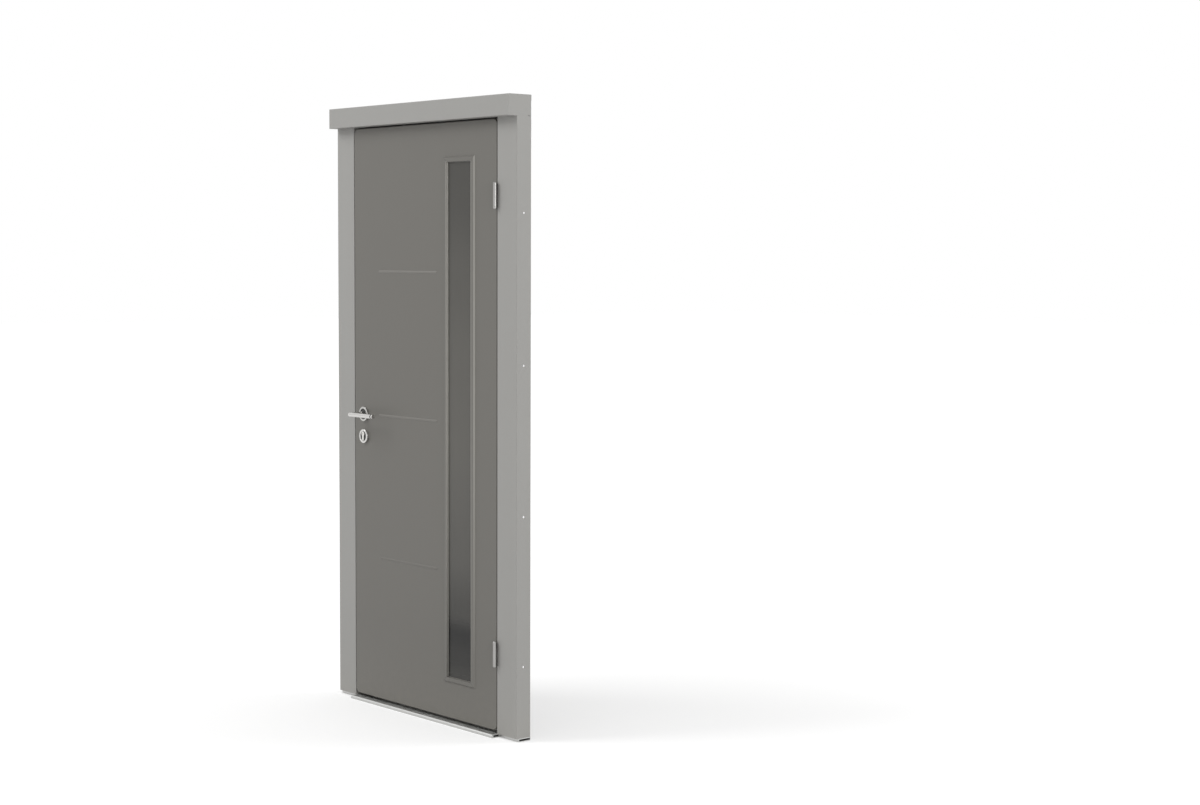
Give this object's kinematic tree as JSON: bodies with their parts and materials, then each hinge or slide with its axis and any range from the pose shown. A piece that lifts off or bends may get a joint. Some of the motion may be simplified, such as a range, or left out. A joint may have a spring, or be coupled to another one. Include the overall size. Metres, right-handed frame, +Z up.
{
  "type": "metal shed door",
  "caption": "Outward-opening sheet-metal shed door in a folded frame: flush leaf with a tall glazed strip, pressed beads, lever handle, cylinder lock, barrel hinges and aluminium threshold.",
  "frame": {"origin": "underside of the threshold, midway across the leaf, in the plane of the leaf's outer face", "axes": "+Z up, +X towards the hinge side, +Y into the shed"},
  "size_m": [1.045, 0.1728, 2.135],
  "materials": {
    "leaf_paint": "dark quartz grey powder coat, satin",
    "frame_paint": "light grey powder coat, satin",
    "trim_paint": "grey coated aluminium, semi-gloss",
    "galvanised": "zinc-coated sheet, dull",
    "aluminium": "plain extruded",
    "stainless": "fine brushed",
    "nickel": "satin nickel",
    "rubber": "matt black",
    "smoked_pane": "smoked acrylic"
  },
  "bodies": {
    "frame": {"lock_jamb": "frame_paint", "hinge_jamb": "frame_paint", "head_rail": "frame_paint", "threshold": "aluminium", "lock_side_seal": "rubber", "hinge_side_seal": "rubber", "head_seal": "rubber", "strike_plate": "stainless", "lock_side_gusset": "galvanised", "hinge_side_gusset": "galvanised", "upper_hinge_frame_leaf": "stainless", "lower_hinge_frame_leaf": "stainless", "upper_hinge_pin": "stainless", "lower_hinge_pin": "stainless", "upper_hinge_washer": "stainless", "lower_hinge_washer": "stainless"},
    "leaf": {"door_skin": "leaf_paint", "lock_stile": "leaf_paint", "hinge_stile": "leaf_paint", "top_rail": "leaf_paint", "bottom_rail": "leaf_paint", "upper_stiffener": "galvanised", "middle_stiffener": "galvanised", "lower_stiffener": "galvanised", "window_trim": "trim_paint", "window_gasket": "rubber", "window_pane": "smoked_pane", "window_back_frame": "leaf_paint", "lock_case": "galvanised", "lock_faceplate": "stainless", "latch_bolt": "stainless", "dead_bolt": "stainless", "lock_cylinder": "nickel", "outer_rose": "stainless", "inner_rose": "stainless", "outer_escutcheon": "stainless", "inner_escutcheon": "stainless", "upper_hinge_door_leaf": "stainless", "lower_hinge_door_leaf": "stainless"},
    "lever": {"outer_lever": "stainless", "inner_lever": "stainless", "spindle": "stainless"}
  },
  "joints": [
    {"name": "leaf_swing", "type": "hinge", "parent": "frame", "child": "leaf", "pos_m": [0.4185, -0.0095, 0], "axis": [0, 0, 1], "range_deg": [0, 165]},
    {"name": "lever_turn", "type": "hinge", "parent": "leaf", "child": "lever", "pos_m": [-0.355, 0, 1.042], "axis": [0, 1, 0], "range_deg": [0, 40], "stiffness_Nm_per_rad": 1, "springref_deg": -34.38}
  ]
}
